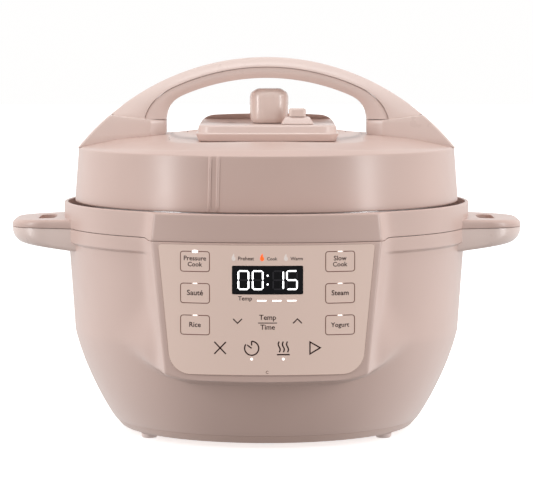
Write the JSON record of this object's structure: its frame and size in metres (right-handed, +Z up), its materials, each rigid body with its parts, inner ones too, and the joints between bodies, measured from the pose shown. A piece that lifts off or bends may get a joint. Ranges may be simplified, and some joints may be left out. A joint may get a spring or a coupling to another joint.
{
  "type": "electric pressure cooker",
  "caption": "Wide electric pressure cooker: round housing with a front control panel, side handles, lift-out pot and a twist-lock lid with a carrying handle.",
  "frame": {"origin": "on the surface it stands on, on the vertical axis of the pot", "axes": "+Z up, +X to the right along the line of the handles, -Y towards the front with the control panel"},
  "size_m": [0.431, 0.354, 0.317],
  "materials": {
    "blush_plastic": "satin moulded plastic, fine grain",
    "blush_lower": "satin moulded plastic, fine grain",
    "panel_film": "printed polycarbonate film, satin",
    "display_black": "glossy black lens",
    "dark_plastic": "moulded",
    "circuit_board": "printed circuit board",
    "foot_rubber": "soft rubber",
    "silicone": "food-grade silicone",
    "stainless": "brushed",
    "aluminium": "satin",
    "brass": "plain",
    "cable": "cable sheath"
  },
  "bodies": {
    "base": {"housing": "blush_plastic", "collar": "blush_plastic", "handle_lower_right": "blush_plastic", "handle_lower_left": "blush_plastic", "bottom_cover": "blush_lower", "cup_bracket": "blush_lower", "foot_1": "foot_rubber", "foot_2": "foot_rubber", "foot_3": "foot_rubber", "foot_4": "foot_rubber", "bottom_screw_1": "stainless", "bottom_screw_2": "stainless", "bottom_screw_3": "stainless", "heating_coil": "stainless", "sensor_bracket": "stainless", "sensor_spring": "stainless", "outer_pot": "aluminium", "heating_plate": "aluminium", "thermal_fuse": "silicone", "pressure_switch": "dark_plastic", "display_module": "dark_plastic", "inlet_socket": "dark_plastic", "power_board": "circuit_board", "control_board": "circuit_board", "display_window": "display_black", "control_film": "panel_film", "mains_lead": "cable", "wire_harness": "cable", "inlet_pin_1": "brass", "inlet_pin_2": "brass", "inlet_pin_3": "brass"},
    "pot": {"inner_pot": "stainless"},
    "seal": {"sealing_ring": "silicone", "ring_rack": "stainless"},
    "lid": {"lid_cover": "blush_plastic", "lid_liner": "stainless", "handle_top_shell": "blush_plastic", "handle_grip": "blush_lower", "handle_stub_right": "blush_plastic", "handle_stub_left": "blush_plastic", "handle_screw_1": "stainless", "handle_screw_2": "stainless", "handle_screw_3": "stainless", "handle_screw_4": "stainless", "lid_screw_1": "stainless", "lid_screw_2": "stainless", "lid_screw_3": "stainless", "lid_screw_4": "stainless", "steam_island": "blush_plastic", "steam_pipe": "stainless", "steam_pipe_nut": "stainless", "anti_block_shield": "stainless", "switch_base": "blush_plastic"},
    "valve": {"steam_valve": "blush_plastic"},
    "switch": {"release_switch": "blush_plastic"},
    "float": {"float_pin": "stainless", "float_cap": "silicone"},
    "sensor": {"temperature_sensor": "aluminium"},
    "cup": {"condensation_cup": "blush_plastic"}
  },
  "joints": [
    {"name": "pot_lift", "type": "slide", "parent": "base", "child": "pot", "axis": [0, 0, 1], "range_m": [0, 0.2]},
    {"name": "lid_lift", "type": "slide", "parent": "pot", "child": "seal", "axis": [0, 0, 1], "range_m": [0, 0.25]},
    {"name": "lid_turn", "type": "hinge", "parent": "seal", "child": "lid", "pos_m": [0, 0, 0.2], "axis": [0, 0, 1], "range_deg": [-30, 0]},
    {"name": "valve_lift", "type": "slide", "parent": "lid", "child": "valve", "axis": [0, 0, 1], "range_m": [0, 0.006]},
    {"name": "vent_slide", "type": "slide", "parent": "lid", "child": "switch", "axis": [0, 1, 0], "range_m": [0, 0.004]},
    {"name": "float_rise", "type": "slide", "parent": "lid", "child": "float", "axis": [0, 0, 1], "range_m": [0, 0.005]},
    {"name": "sensor_press", "type": "slide", "parent": "base", "child": "sensor", "axis": [0, 0, 1], "range_m": [-0.003, 0], "stiffness_N_per_m": 400, "springref_m": 0.004, "deforming": ["sensor_spring"]},
    {"name": "cup_pull", "type": "slide", "parent": "base", "child": "cup", "axis": [0, 1, 0], "range_m": [0, 0.05]}
  ]
}
